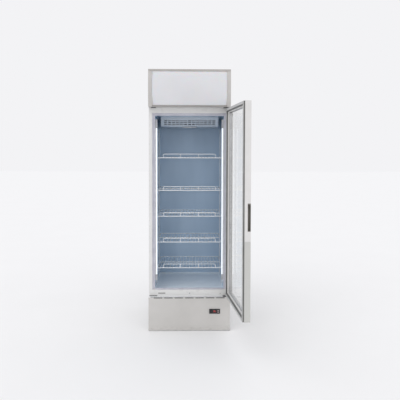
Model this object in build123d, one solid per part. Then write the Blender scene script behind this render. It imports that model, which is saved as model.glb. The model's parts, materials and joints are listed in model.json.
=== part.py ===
from build123d import *
import os

# Glass door merchandiser: an upright drinks cooler with one hinged glass door, a lit sign
# canopy above it and a refrigeration compartment in the base.  Millimetres, +Z up.
# X runs to the right as a customer sees it, and Y runs from the door towards the back.
# Everything is drawn with the front face frame in the plane Y = 0.  save() then moves it,
# so that the origin is on the floor at the middle of the cabinet's footprint.

# Driving dimensions
WIDTH = 620.0
DEPTH = 580.0          # face frame to back panel
HEIGHT = 1984.0        # floor to the top of the canopy
ROOF_Z = 1702.0        # top of the insulated cabinet, where the canopy stands
LEDGE_Z = 259.0        # top of the base, under the door
BASE_OUT = 44.0        # how far the base stands out in front of the face frame
CANOPY_OUT = 54.0      # the same for the canopy's top and bottom edges
CANOPY_BACK = 96.0
SHEET = 1.2            # painted steel
FACE_Y = -(DEPTH - BASE_OUT) / 2

DOOR_WIDTH = 610.0
DOOR_X1 = 307.0        # hinge-side edge of the closed door
DOOR_X0 = DOOR_X1 - DOOR_WIDTH
DOOR_Z0 = 264.0
DOOR_Z1 = 1694.5
DOOR_FRAME = 33.0      # width of a frame member
DOOR_THICK = 41.0
GASKET = 12.0          # gasket thickness, from the face frame to the door frame
GASKET_GAP = 0.4       # clearance left between the closed gasket and the face frame
DOOR_Y1 = -GASKET
DOOR_Y0 = -GASKET - DOOR_THICK
DOOR_REST_ANGLE = 96.5
GLASS = 4.0
GLASS_EDGE = 26.5      # edge of the sealed glass unit, inwards from the door's edge
UNIT_Y = (DOOR_Y0 + 8.0, DOOR_Y0 + 28.0)
RECESS_Z = (855.5, 1033.0)
RECESS_DEEP = 24.0     # pull cup, inwards from the door's edge
RECESS_THICK = 21.0    # the same, back from the door's front

PIVOT_X = DOOR_X1 - 10.0
PIVOT_Y = -22.0
PIN = 4.0              # radius of the hinge pins
BUSH = 6.0             # outer radius of the bushes
BUSH_LENGTH = 20.0
RUNNING_GAP = 0.05     # radial clearance of a pin or shaft that turns
PLATE_LOW = (LEDGE_Z, LEDGE_Z + 3.0)
PLATE_HIGH = (ROOF_Z - 5.0, ROOF_Z)

OPENING_X = 263.0      # half width of the clear opening and of the liner
OPENING_Z0 = 316.0
OPENING_Z1 = 1638.0
BREAKER_X = 285.0      # half width of the face frame's opening
BREAKER_Z0 = 306.0
BREAKER_Z1 = 1661.0
BREAKER_DEPTH = 16.0
LINER = 1.5
LINER_FLOOR = 300.0
LINER_CEILING = 1645.0
LINER_BACK = 532.0

SHELF_PITCH = 50.5     # spacing of the slots in the shelf standards
SHELF_Z0 = 463.5       # top of the lowest shelf's front wire
SHELF_STEPS = (0, 4, 8, 12, 17)
SHELF_HALF = 248.0
SHELF_FRONT = 64.0
SHELF_BACK = 474.0
STANDARD_YS = (104.0, 436.0)
STANDARD_X = 254.0     # inner face of the shelf standards
SLOTS_BELOW = 2
SLOTS_ABOVE = 21

VENT_COUNT = 7
VENT_PITCH = 79.3
VENT_WIDTH = 66.0
VENT_Z = (251.0, 257.0)

CONTROLLER_X = 193.0
CONTROLLER_Z = 151.5
BEZEL_Y = -BASE_OUT - 5.0
KEY_X = CONTROLLER_X + 27.0
KEY_ZS = {"button_up": CONTROLLER_Z + 6.0, "button_down": CONTROLLER_Z - 6.0}
KEY_HALF = (6.5, 4.5)
KEY_PROUD = 0.8        # how far a key stands out of the bezel
KEY_GAP = 0.3

SENSOR_X = 2.0         # door sensor in the middle of the sill
SENSOR_Z = 277.6
SENSOR_R = 4.5
SENSOR_DEEP = 14.0

FOOT_XS = (-255.0, 255.0)
FOOT_YS = (12.0, 524.0)
FOOT_NAMES = {(0, 0): "foot_front_left", (1, 0): "foot_front_right",
              (0, 1): "foot_rear_left", (1, 1): "foot_rear_right"}

TRAY_Z = 28.0          # underside of the machine compartment's floor
TRAY_TOP = TRAY_Z + 1.5
COMPRESSOR = (-120.0, 330.0)
COMPRESSOR_Z = TRAY_TOP + 12
COND_FAN_X = 150.0
COND_FAN_Z = 130.0
INLET_X = 264.0
INLET_Z = 76.0
SERVICE_X = (-240.0, -190.0)
SERVICE_TOP = 1600.0
PIPE_Y = 552.0         # tubes that run up the back, inside the insulation
PIPE_TOP = 1560.0

LAMP_Y = 28.0
LAMP_Z = (420.0, 1546.0)
LAMP_ENDS = (377.0, 1613.0)

EVAP_FAN_Y = 262.0
COVER_X = 228.0        # half width of the evaporator cover
COVER_FRONT = 150.0
COVER_SLOPE = 42.0
COVER_Z = 1568.0
COVER_BACK = 512.0

CANOPY_INNER = 282.0   # half width between the canopy's end caps
CANOPY_FRONT = -40.0   # front of the steel light box
TRIM_TOP = 16.0        # height of the bar along the top of the sign
TRIM_LOW = 14.0
BOW = 10.0             # how far the canopy's front swells at mid height

os.makedirs("parts", exist_ok=True)


def block(x0, x1, y0, y1, z0, z1):
    """A box between two opposite corners."""
    return Pos((x0 + x1) / 2, (y0 + y1) / 2, (z0 + z1) / 2) * Box(x1 - x0, y1 - y0, z1 - z0)


def rod(radius, start, end):
    """A round bar from one point to another."""
    line = Vector(*end) - Vector(*start)
    return Plane(origin=start, z_dir=line) * Cylinder(
        radius, line.length, align=(Align.CENTER, Align.CENTER, Align.MIN))


def tube(radius, bend, points):
    """A bent tube, drawn as a solid bar along straight runs joined by arcs."""
    path = FilletPolyline(*points, radius=bend)
    start = Plane(origin=path @ 0, z_dir=path % 0)
    return sweep(start * Circle(radius), path=path)


def prism_x(points, x0, x1):
    """An outline of (y, z) points, extruded from x0 to x1."""
    outline = Plane.YZ.offset(x0) * make_face(Polyline(*points, close=True))
    return extrude(outline, x1 - x0, dir=(1, 0, 0))


def group(solids):
    """Several separate solids kept in one node."""
    return Compound(children=list(solids))


def save(name, shape):
    """Moves a sub-part from drawing position to its place in the part's frame and writes it."""
    export_step(Pos(0, FACE_Y, 0) * shape, f"parts/{name}.step")


def save_door(name, shape):
    """The same for a door piece, which is drawn closed and stands open at rest."""
    pivot = Axis((PIVOT_X, PIVOT_Y, 0), (0, 0, 1))
    save(name, shape.rotate(pivot, DOOR_REST_ANGLE))


# ---- Cabinet body ----

def outer_wrapper():
    """One painted sheet bent into the left side, the roof and the right side."""
    half = WIDTH / 2
    inner = half - SHEET
    outside = block(-half, half, 2, DEPTH, 4, ROOF_Z)
    inside = block(-inner, inner, 0, DEPTH + 2, 0, ROOF_Z - SHEET)
    return outside - inside


def back_panel():
    inner = WIDTH / 2 - SHEET
    panel = block(-inner, inner, DEPTH - SHEET, DEPTH, 262, ROOF_Z - SHEET)
    for x in (-150, 150):
        panel += block(x - 30, x + 30, DEPTH - SHEET, DEPTH + 1.5, 340, 1600)
    return panel


def face_frame():
    """Flat painted flange around the opening that the door seals against."""
    half = WIDTH / 2
    plate = block(-half, half, 0, 2, LEDGE_Z, ROOF_Z)
    plate -= block(-BREAKER_X, BREAKER_X, -1, 3, BREAKER_Z0, BREAKER_Z1)
    return plate - rod(SENSOR_R + 0.2, (SENSOR_X, -1, SENSOR_Z), (SENSOR_X, 3, SENSOR_Z))


def breaker_frame():
    """Stepped plastic strip between the cold liner and the warm face frame."""
    outside = block(-BREAKER_X, BREAKER_X, 3, BREAKER_DEPTH, BREAKER_Z0, BREAKER_Z1)
    step = 10.0
    middle = block(-BREAKER_X + step, BREAKER_X - step, 0, 8,
                   BREAKER_Z0 + step / 2, BREAKER_Z1 - step)
    inside = block(-OPENING_X, OPENING_X, 0, 20, OPENING_Z0, OPENING_Z1)
    return outside - middle - inside


def inner_liner():
    outside = block(-OPENING_X - LINER, OPENING_X + LINER, BREAKER_DEPTH, LINER_BACK + LINER,
                    LINER_FLOOR - LINER, LINER_CEILING + LINER)
    inside = block(-OPENING_X, OPENING_X, 0, LINER_BACK, LINER_FLOOR, LINER_CEILING)
    return outside - inside


def foam_insulation():
    """Foamed-in-place insulation between the wrapper and the liner."""
    gap = 0.2
    inner = WIDTH / 2 - SHEET
    shell = block(-inner, inner, 2, DEPTH - SHEET, LEDGE_Z, ROOF_Z - SHEET)
    pocket = LINER + gap
    shell -= block(-OPENING_X - pocket, OPENING_X + pocket, 0, LINER_BACK + pocket,
                   LINER_FLOOR - pocket, LINER_CEILING + pocket)
    shell -= block(-BREAKER_X, BREAKER_X, 0, BREAKER_DEPTH, BREAKER_Z0, BREAKER_Z1)
    shell -= rod(SENSOR_R + 0.2, (SENSOR_X, 1, SENSOR_Z), (SENSOR_X, SENSOR_DEEP + 0.2, SENSOR_Z))
    return shell - block(*SERVICE_X, LINER_BACK + 6, DEPTH - 12, LEDGE_Z - 1, SERVICE_TOP)


def screw_heads():
    """Pan-head screws that hold the back panel and the rear grille."""
    heads = []
    for z in (275, 600, 925, 1250, 1575, 1690):
        for x in (-300, 300):
            heads.append(rod(4.5, (x, DEPTH, z), (x, DEPTH + 2, z)))
    for z in (44, 244):
        for x in (-296, 0, 296):
            heads.append(rod(4.5, (x, DEPTH, z), (x, DEPTH + 2, z)))
    return group(heads)


# ---- Base ----

def base_frame():
    """Welded angle ring that the cabinet stands on when the feet are screwed in."""
    x = WIDTH / 2 - 2.4
    y0 = -BASE_OUT + 2.4
    y1 = DEPTH - 2.6
    flange = 30.0
    thick = 2.0
    ring = block(-x, x, y0, y1, 0, TRAY_Z)
    ring -= block(-x + thick, x - thick, y0 + thick, y1 - thick, thick, TRAY_Z + 1)
    ring -= block(-x + flange, x - flange, y0 + flange, y1 - flange, -1, thick + 1)
    return ring


def machine_tray():
    """Floor of the base, with the nuts of the levelling feet welded to it."""
    x = WIDTH / 2 - 3
    tray = block(-x, x, -BASE_OUT + 3, DEPTH - 3, TRAY_Z, TRAY_TOP)
    for foot_x in FOOT_XS:
        for foot_y in FOOT_YS:
            tray += rod(9, (foot_x, foot_y, TRAY_TOP), (foot_x, foot_y, TRAY_Z + 12))
    for foot_x in FOOT_XS:
        for foot_y in FOOT_YS:
            tray -= rod(5.35, (foot_x, foot_y, TRAY_Z - 1), (foot_x, foot_y, TRAY_Z + 13))
    return tray


def front_panel():
    """Painted cover of the base: face, top ledge and side returns in one sheet."""
    half = WIDTH / 2
    panel = block(-half, half, -BASE_OUT, 2, 4, LEDGE_Z)
    panel -= block(-half + SHEET, half - SHEET, -BASE_OUT + SHEET, 3, 3, LEDGE_Z - SHEET)
    for k in range(VENT_COUNT):
        x = (k - (VENT_COUNT - 1) / 2) * VENT_PITCH
        slot = block(x - VENT_WIDTH / 2, x + VENT_WIDTH / 2, -BASE_OUT - 1, -BASE_OUT + 3, *VENT_Z)
        panel -= fillet(slot.edges().filter_by(Axis.Y), 2.5)
    return panel - block(CONTROLLER_X - 35.5, CONTROLLER_X + 35.5, -BASE_OUT - 1, -BASE_OUT + 3,
                         CONTROLLER_Z - 14.5, CONTROLLER_Z + 14.5)


def rear_grille():
    """Louvred cover of the machine compartment, with the cut-out of the power inlet."""
    grille = block(-306, 306, DEPTH - SHEET, DEPTH, 32, 256)
    for x in (-190, -20, 150):
        for row in range(11):
            z = 60 + 16 * row
            grille -= block(x - 75, x + 75, DEPTH - 3, DEPTH + 1, z, z + 7)
    return grille - block(INLET_X - 14, INLET_X + 14, DEPTH - 3, DEPTH + 1,
                          INLET_Z - 10.5, INLET_Z + 10.5)


def power_inlet():
    """Three-blade appliance inlet with a screw flange."""
    y = DEPTH
    body = block(INLET_X - 13.5, INLET_X + 13.5, y - 24, y + 2.5, INLET_Z - 10, INLET_Z + 10)
    flange = block(INLET_X - 25, INLET_X + 25, y, y + 2.5, INLET_Z - 11.5, INLET_Z + 11.5)
    inlet = body + fillet(flange.edges().filter_by(Axis.Y), 5)
    inlet -= block(INLET_X - 12, INLET_X + 12, y - 18, y + 3, INLET_Z - 8.2, INLET_Z + 8.2)
    for x, z in ((-7, 2), (0, -3), (7, 2)):
        inlet += block(INLET_X + x - 1, INLET_X + x + 1, y - 19, y - 5,
                       INLET_Z + z - 2, INLET_Z + z + 2)
    return inlet


def levelling_foot(x, y):
    """Screw foot: a disc under the base and a threaded stem through the welded nut."""
    disc = Pos(x, y, 5) * Cylinder(18, 8)
    disc = chamfer(disc.edges().group_by(Axis.Z)[-1], 3)
    return disc + rod(5, (x, y, 8), (x, y, 62))


# ---- Machine compartment ----

def compressor():
    """Domed steel shell with its starter box and foot plate, on four rubber grommets."""
    x, y = COMPRESSOR
    shell = Pos(x, y, COMPRESSOR_Z + 86) * Cylinder(72, 160)
    shell = fillet(shell.edges(), 34)
    seam = Pos(x, y, COMPRESSOR_Z + 92) * Cylinder(77, 6)
    plate = block(x - 105, x + 105, y - 60, y + 60, COMPRESSOR_Z, COMPRESSOR_Z + 3)
    plate = fillet(plate.edges().filter_by(Axis.Z), 15)
    stand = Pos(x, y, COMPRESSOR_Z + 14) * Cylinder(50, 24)
    starter = block(x + 62, x + 112, y - 30, y + 30, 76, 160)
    starter = fillet(starter.edges().filter_by(Axis.Y), 5)
    mounts = [rod(11, (x + dx, y + dy, TRAY_TOP), (x + dx, y + dy, COMPRESSOR_Z))
              for dx in (-88, 88) for dy in (-44, 44)]
    return group([shell + seam + plate + stand + starter, *mounts])


def condenser_coil():
    """Finned condenser block behind the front vents."""
    x0, x1 = COND_FAN_X - 110, COND_FAN_X + 110
    fins = [block(x, x + 1, 62, 118, 42, 218) for x in range(int(x0), int(x1) + 1, 11)]
    coil = fins[0].fuse(*fins[1:])
    for z in (60, 95, 130, 165, 200):
        for y in (76, 104):
            coil += rod(4.5, (x0 - 6, y, z), (x1 + 7, y, z))
    return coil


def condenser_shroud():
    """Sheet duct that makes the fan draw through the whole condenser."""
    x0, x1 = COND_FAN_X - 114, COND_FAN_X + 115
    shroud = block(x0, x1, 118, 150, TRAY_TOP, 224)
    shroud -= block(x0 + 1.5, x1 - 1.5, 117, 148.5, TRAY_Z + 3, 222.5)
    centre = (COND_FAN_X, 140, COND_FAN_Z)
    return shroud - rod(84, centre, (COND_FAN_X, 152, COND_FAN_Z))


def fan_blades(radius, hub, count, pitch, depth):
    """Axial fan around +Z: twisted blades on a hub, with its shaft pointing up."""
    fan = Cylinder(hub, depth)
    for k in range(count):
        blade = Pos(radius / 2, 0, 0) * Rot(pitch, 0, 0) * Box(radius, radius * 0.62, 1.8)
        fan += Rot(0, 0, 360 / count * k) * blade
    fan = fan & Cylinder(radius, depth * 2)
    return fan - Cylinder(hub - 3, depth, align=(Align.CENTER, Align.CENTER, Align.MAX))


def condenser_fan():
    """Fan wheel with its shaft, drawn along +Z and turned to face the condenser."""
    wheel = fan_blades(78, 20, 5, 28, 22) + rod(3, (0, 0, 5), (0, 0, 34))
    return Pos(COND_FAN_X, 166, COND_FAN_Z) * Rot(-90, 0, 0) * wheel


def condenser_fan_motor():
    """Shaded-pole motor held behind the shroud by a strap bracket."""
    x, z = COND_FAN_X, COND_FAN_Z
    motor = rod(30, (x, 186, z), (x, 226, z))
    motor -= rod(3 + RUNNING_GAP, (x, 180, z), (x, 202, z))
    for side in (-1, 1):
        arm = block(min(side * 28, side * 104), max(side * 28, side * 104), 194, 196, -9, 9)
        leg = block(min(side * 102, side * 104), max(side * 102, side * 104), 150, 196, -9, 9)
        motor += Pos(x, 0, z) * (arm + leg)
    return motor


def refrigerant_lines():
    """Discharge, liquid and suction tubes of the cooling circuit, with the filter drier."""
    cx, cy = COMPRESSOR
    x, y = -262, 400
    discharge = tube(3, 14, [(cx + 30, cy - 67, 110), (cx + 30, 190, 110), (0, 190, 110),
                             (0, 104, 110), (30, 104, 110)])
    liquid = tube(3, 14, [(33, 104, 200), (x, 104, 200), (x, y, 200), (x, y, 182)])
    suction = tube(4, 16, [(cx - 72.3, cy, 110), (cx - 98, cy, 110), (cx - 98, PIPE_Y, 110),
                           (cx - 98, PIPE_Y, PIPE_TOP)])
    drier = rod(10, (x, y, 80), (x, y, 170))
    drier += Pos(x, y, 176) * Cone(10, 4, 12)
    drier += Pos(x, y, 74) * Cone(4, 10, 12)
    return group([discharge, liquid, suction, drier])


def drain_tube():
    """Carries meltwater from the evaporator down to the evaporation tray."""
    x, y, z = -204, 160, 94
    return tube(6, 26, [(x, PIPE_Y, PIPE_TOP), (x, PIPE_Y, z), (x, y, z), (x, y, 66)])


def evaporation_tray():
    """Open plastic tray in the condenser's warm air, where meltwater evaporates."""
    tray = block(-284, -124, 40, 220, TRAY_TOP, 64)
    return tray - block(-281.5, -126.5, 42.5, 217.5, TRAY_Z + 4, 65)


# ---- Shelving ----

def wire_shelf():
    """Welded wire shelf with a raised front rail, drawn with its top wires at z = 0."""
    wire = 1.6
    frame = 3.2
    x, y0, y1 = SHELF_HALF, SHELF_FRONT, SHELF_BACK
    shelf = rod(frame, (-x, y0, -frame), (x, y0, -frame))
    for y in (y1, (y0 + y1) / 2):
        shelf += rod(frame, (-x, y, -frame - 1), (x, y, -frame - 1))
    for side in (-x, x):
        shelf += rod(frame, (side, y0, -frame), (side, y1, -frame))
        for y in (y0, y1):
            shelf += Pos(side, y, -frame) * Sphere(frame)
    for k in range(-9, 10):
        shelf += rod(wire, (k * 25, y0 - 1, -wire), (k * 25, y1 + 1, -wire))
    rail = 203.0
    for side in (-rail, rail):
        shelf += rod(2.2, (side, y0, -frame), (side, y0, 26))
        shelf += Pos(side, y0, 26) * Sphere(2.2)
    return shelf + rod(2.2, (-rail, y0, 26), (rail, y0, 26))


def shelf_standard(side, y):
    """Slotted steel strip on the liner wall, side -1 left and +1 right."""
    inner = STANDARD_X
    z0 = SHELF_Z0 - SHELF_PITCH * (SLOTS_BELOW + 0.6)
    z1 = SHELF_Z0 + SHELF_PITCH * (SLOTS_ABOVE + 0.6)
    strip = block(inner, OPENING_X, y - 10, y + 10, z0, z1)
    strip -= block(inner + 1.4, OPENING_X + 1, y - 8.6, y + 8.6, z0 - 1, z1 + 1)
    for k in range(-SLOTS_BELOW, SLOTS_ABOVE + 1):
        z = SHELF_Z0 + SHELF_PITCH * k - 12
        strip -= block(inner - 1, inner + 3, y - 4, y + 4, z - 7, z + 7)
    return strip if side > 0 else strip.mirror(Plane.YZ)


def shelf_clip(side, y, z):
    """Clip hooked into a slot, with a tongue under the shelf's side wire."""
    tongue = block(242, STANDARD_X, y - 3.5, y + 3.5, z - 10, z - 7.2)
    web = block(STANDARD_X - 2, STANDARD_X, y - 3.5, y + 3.5, z - 19, z - 7.2)
    hook = block(STANDARD_X - 1, STANDARD_X + 4, y - 3.5, y + 3.5, z - 18, z - 14)
    clip = tongue + web + hook
    return clip if side > 0 else clip.mirror(Plane.YZ)


# ---- Cabin lighting ----

def on_both_sides(right):
    return [right, right.mirror(Plane.YZ)]


def led_strips():
    """Aluminium channels in the liner's front corners."""
    return group(on_both_sides(block(256, OPENING_X, LAMP_Y - 9, LAMP_Y + 9, *LAMP_Z)))


def led_lenses():
    """Milky covers that snap on the channels."""
    lens = block(247, 256, LAMP_Y - 8, LAMP_Y + 8, *LAMP_Z)
    lens = fillet(lens.edges().filter_by(Axis.Z).group_by(Axis.X)[0], 5)
    return group(on_both_sides(lens))


def led_holders():
    """Moulded holders at both ends of each lamp."""
    holders = []
    for z0, z1 in ((LAMP_ENDS[0], LAMP_Z[0]), (LAMP_Z[1], LAMP_ENDS[1])):
        holder = block(246, OPENING_X, LAMP_Y - 10, LAMP_Y + 10, z0, z1)
        holder = fillet(holder.edges().filter_by(Axis.Z).group_by(Axis.X)[0], 4)
        holders += on_both_sides(holder)
    return group(holders)


# ---- Evaporator ----

def evaporator_cover():
    """Moulded tray under the ceiling that ducts air through the cooling coil."""
    outline = [(COVER_FRONT, LINER_CEILING), (COVER_FRONT, LINER_CEILING - 22),
               (COVER_FRONT + COVER_SLOPE, COVER_Z), (COVER_BACK, COVER_Z),
               (COVER_BACK, LINER_CEILING)]
    thick = 2.2
    hollow = [(COVER_FRONT + thick, LINER_CEILING + 1),
              (COVER_FRONT + thick, LINER_CEILING - 21),
              (COVER_FRONT + COVER_SLOPE + thick, COVER_Z + thick),
              (COVER_BACK - thick, COVER_Z + thick), (COVER_BACK - thick, LINER_CEILING + 1)]
    cover = prism_x(outline, -COVER_X, COVER_X)
    cover -= prism_x(hollow, -COVER_X + thick, COVER_X - thick)
    for row in range(3):
        z = COVER_Z + 12 + 14 * row
        for k in range(-6, 7):
            cover -= block(32 * k - 12, 32 * k + 12, COVER_FRONT - 2, COVER_FRONT + 60, z, z + 6)
    fan_hole = rod(63, (0, EVAP_FAN_Y, COVER_Z - 1), (0, EVAP_FAN_Y, COVER_Z + 4))
    back_slots = block(-180, 180, COVER_BACK - 40, COVER_BACK - 22, COVER_Z - 1, COVER_Z + 4)
    return cover - fan_hole - back_slots


def evaporator_coil():
    """Finned tube block that cools the cabin air."""
    fins = [block(x, x + 1, 350, 450, 1584, 1640) for x in range(-170, 171, 10)]
    coil = fins[0].fuse(*fins[1:])
    for z in (1598, 1626):
        for y in (368, 400, 432):
            coil += rod(4.5, (-176, y, z), (177, y, z))
    return coil


def evaporator_fan():
    """Fan wheel under the coil housing, with its shaft pointing up."""
    wheel = fan_blades(58, 17, 5, 24, 14) + rod(2.5, (0, 0, 4), (0, 0, 24))
    return Pos(0, EVAP_FAN_Y, 1581) * wheel


def evaporator_fan_motor():
    """Motor on a two-legged bracket that is screwed to the ceiling."""
    y = EVAP_FAN_Y
    motor = rod(21, (0, y, 1596), (0, y, 1628))
    motor -= rod(2.5 + RUNNING_GAP, (0, y, 1590), (0, y, 1612))
    motor += block(-45, 45, y - 12, y + 12, 1628, 1630)
    for side in (-1, 1):
        motor += block(side * 44 - 1, side * 44 + 1, y - 12, y + 12, 1628, LINER_CEILING)
    return motor


def fan_guard():
    """Guard over the fan's hole: flat rings under six spokes."""
    spoke = 1.5
    ring = 1.1
    z = COVER_Z - spoke
    centre = Pos(0, EVAP_FAN_Y, 0)
    guard = centre * block(-9, 9, -9, 9, z - 2.2, z + 0.8)
    for radius in (18, 30, 42, 54, 66):
        tall = Cylinder(radius + ring, 2.2) - Cylinder(radius - ring, 3)
        guard += Pos(0, EVAP_FAN_Y, z - spoke) * tall
    for k in range(6):
        bar = Pos(36, 0, z) * Box(64, 2 * spoke, 2 * spoke)
        guard += centre * Rot(0, 0, 60 * k + 15) * bar
    return guard


# ---- Canopy ----

def bowed_face(front, z0, z1):
    """Three-point arc in the YZ plane that swells forwards between two heights."""
    return ThreePointArc((front, z0), (front - BOW, (z0 + z1) / 2), (front, z1))


def canopy_housing():
    """Steel back, floor and lid of the light box."""
    x = CANOPY_INNER
    box = block(-x, x, CANOPY_FRONT, CANOPY_BACK, ROOF_Z, HEIGHT)
    return box - block(-x - 1, x + 1, -50, CANOPY_BACK - SHEET, ROOF_Z + SHEET, HEIGHT - SHEET)


def canopy_end(side):
    """Moulded end cap with a bowed front edge, hollow towards the light box."""
    def profile(inset):
        front = -CANOPY_OUT + inset
        back = CANOPY_BACK - inset
        z0, z1 = ROOF_Z + inset, HEIGHT - inset
        edges = [bowed_face(front, z0, z1), Line((front, z1), (back, z1)),
                 Line((back, z1), (back, z0)), Line((back, z0), (front, z0))]
        return make_face(Curve() + edges)

    outside = extrude(Plane.YZ.offset(CANOPY_INNER) * profile(0),
                      WIDTH / 2 - CANOPY_INNER, dir=(1, 0, 0))
    inside = extrude(Plane.YZ.offset(CANOPY_INNER - 1) * profile(3),
                     WIDTH / 2 - CANOPY_INNER - 2, dir=(1, 0, 0))
    cap = outside - inside - block(CANOPY_INNER - 1, WIDTH / 2 + 1, -CANOPY_OUT - BOW - 1,
                                   CANOPY_FRONT, HEIGHT - TRIM_TOP, HEIGHT + 1)
    return cap if side > 0 else cap.mirror(Plane.YZ)


def canopy_trims():
    """Extruded bars of the sign: one over the end caps, one between them at the bottom."""
    x, wide = CANOPY_INNER, WIDTH / 2
    top = block(-wide, wide, -CANOPY_OUT, CANOPY_FRONT, HEIGHT - TRIM_TOP, HEIGHT)
    bottom = block(-x, x, -CANOPY_OUT, CANOPY_FRONT, ROOF_Z, ROOF_Z + TRIM_LOW)
    return group([top, bottom])


def canopy_diffuser():
    """Bowed opal sheet held between the two bars."""
    z0, z1 = ROOF_Z + TRIM_LOW + 0.2, HEIGHT - TRIM_TOP - 0.2
    front = -CANOPY_OUT + 3
    thick = 3.0
    edges = [bowed_face(front, z0, z1), Line((front, z1), (front + thick, z1)),
             bowed_face(front + thick, z0, z1), Line((front + thick, z0), (front, z0))]
    sheet = make_face(Curve() + edges)
    x = CANOPY_INNER - 0.3
    return extrude(Plane.YZ.offset(-x) * sheet, 2 * x, dir=(1, 0, 0))


def canopy_led_bars():
    """Two rows of lamps on the back of the light box."""
    y1 = CANOPY_BACK - SHEET
    return group([block(-265, 265, y1 - 11, y1, z - 10, z + 10) for z in (1790, 1896)])


# ---- Door, drawn closed ----

def door_block(inset, y0, y1):
    """A block over the whole door, set in from its outline by the same amount all round."""
    return block(DOOR_X0 + inset, DOOR_X1 - inset, y0, y1, DOOR_Z0 + inset, DOOR_Z1 - inset)


def door_member(outer, inner):
    """A mitred frame member between its outer and inner edges, each two (x, z) points."""
    points = [outer[0], outer[1], inner[1], inner[0]]
    face = Plane.XZ * make_face(Polyline(*points, close=True))
    solid = extrude(face, DOOR_THICK, dir=(0, -1, 0))
    return Pos(0, DOOR_Y1, 0) * solid


def door_corners():
    """Outer and inner corners of the door frame, bottom left first, anticlockwise."""
    f = DOOR_FRAME
    outer = [(DOOR_X0, DOOR_Z0), (DOOR_X1, DOOR_Z0), (DOOR_X1, DOOR_Z1), (DOOR_X0, DOOR_Z1)]
    inner = [(DOOR_X0 + f, DOOR_Z0 + f), (DOOR_X1 - f, DOOR_Z0 + f),
             (DOOR_X1 - f, DOOR_Z1 - f), (DOOR_X0 + f, DOOR_Z1 - f)]
    return outer, inner


def glass_groove():
    """Space that the sealed glass unit takes in the frame members."""
    return door_block(GLASS_EDGE - 0.5, UNIT_Y[0] - 0.2, UNIT_Y[1] + 0.2)


def door_side(index):
    """One frame member, grooved for the glass: 0 bottom, 1 hinge side, 2 top, 3 handle side."""
    outer, inner = door_corners()
    nxt = (index + 1) % 4
    member = door_member((outer[index], outer[nxt]), (inner[index], inner[nxt]))
    return member - glass_groove()


def bush_spans():
    return (DOOR_Z0, DOOR_Z0 + BUSH_LENGTH), (DOOR_Z1 - BUSH_LENGTH, DOOR_Z1)


def bush_hole(z0, z1):
    return rod(BUSH, (PIVOT_X, PIVOT_Y, z0), (PIVOT_X, PIVOT_Y, z1))


def door_stile_hinge():
    """Hinge-side stile, with bush holes for the pins at both ends."""
    stile = door_side(1)
    for span in bush_spans():
        stile -= bush_hole(*span)
    return stile


def door_stile_handle():
    """Handle-side stile, with the cut-out of the recessed pull in its edge."""
    stile = door_side(3)
    z0, z1 = RECESS_Z
    stile -= block(DOOR_X0 - 1, DOOR_X0 + RECESS_DEEP, DOOR_Y0 - 1, DOOR_Y0 + RECESS_THICK,
                   z0 - 2, z1 + 2)
    return stile - block(DOOR_X0 - 1, DOOR_X0 + 0.8, DOOR_Y0 - 1, DOOR_Y1 + 1, 787.5, 789)


def door_rails():
    """Bottom and top rails; their mitred tips carry part of the bush holes."""
    low, high = bush_spans()
    return group([door_side(0) - bush_hole(*low), door_side(2) - bush_hole(*high)])


def hinge_bushes():
    """Nylon bushes pressed in the hinge stile, which the pins turn in."""
    bore = rod(PIN + RUNNING_GAP, (PIVOT_X, PIVOT_Y, DOOR_Z0), (PIVOT_X, PIVOT_Y, DOOR_Z1))
    return group(bush_hole(*span) - bore for span in bush_spans())


def handle_insert():
    """Moulded pull cup in the stile's edge, with a slanting top for the fingers."""
    z0, z1 = RECESS_Z
    cup = block(DOOR_X0, DOOR_X0 + RECESS_DEEP, DOOR_Y0, DOOR_Y0 + RECESS_THICK, z0 - 2, z1 + 2)
    wall = 2.0
    slope = 9.0
    front, back = DOOR_Y0 + wall + 1, DOOR_Y0 + RECESS_THICK - wall
    hollow = prism_x([(front, z0 + wall), (back, z0 + wall), (back, z1 - wall),
                      (front, z1 - wall - slope)], DOOR_X0 - 1, DOOR_X0 + RECESS_DEEP - wall)
    return cup - hollow


def door_glass():
    """Two toughened panes of the sealed unit."""
    y0, y1 = UNIT_Y
    return group([door_block(GLASS_EDGE, y0, y0 + GLASS), door_block(GLASS_EDGE, y1 - GLASS, y1)])


def glass_spacer():
    """Spacer bar between the panes, just inside their edges."""
    y0, y1 = UNIT_Y[0] + GLASS, UNIT_Y[1] - GLASS
    return door_block(GLASS_EDGE, y0, y1) - door_block(GLASS_EDGE + 9, y0 - 1, y1 + 1)


def door_gasket():
    """Magnetic gasket: a base strip against the frame and a narrower sealing bulb.

    Beside the hinge the bulb stays behind the pivot, so that it clears the cabinet as it turns.
    """
    base = door_block(2, -GASKET, -8) - door_block(28, -GASKET - 1, 0)
    bulb = door_block(2, -8, -GASKET_GAP) - door_block(21, -GASKET - 1, 0)
    bulb -= block(PIVOT_X, DOOR_X1, -8, 0, DOOR_Z0, DOOR_Z1)
    return base + bulb


# ---- Hinges ----

def hinge_plate(z0, z1):
    """Bracket plate from the face frame out to the pivot, rounded at its front corners."""
    plate = block(PIVOT_X - 41, PIVOT_X + 9, PIVOT_Y - 14, 0, z0, z1)
    return fillet(plate.edges().filter_by(Axis.Z).group_by(Axis.Y)[0], 8)


def hinge_bracket_bottom():
    """Bottom bracket with its pin pointing up and a thrust collar."""
    plate = hinge_plate(*PLATE_LOW)
    collar = rod(7, (PIVOT_X, PIVOT_Y, PLATE_LOW[1]), (PIVOT_X, PIVOT_Y, DOOR_Z0 - 0.3))
    pin = rod(PIN, (PIVOT_X, PIVOT_Y, PLATE_LOW[1]), (PIVOT_X, PIVOT_Y, DOOR_Z0 + 14))
    return plate + collar + pin


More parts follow.
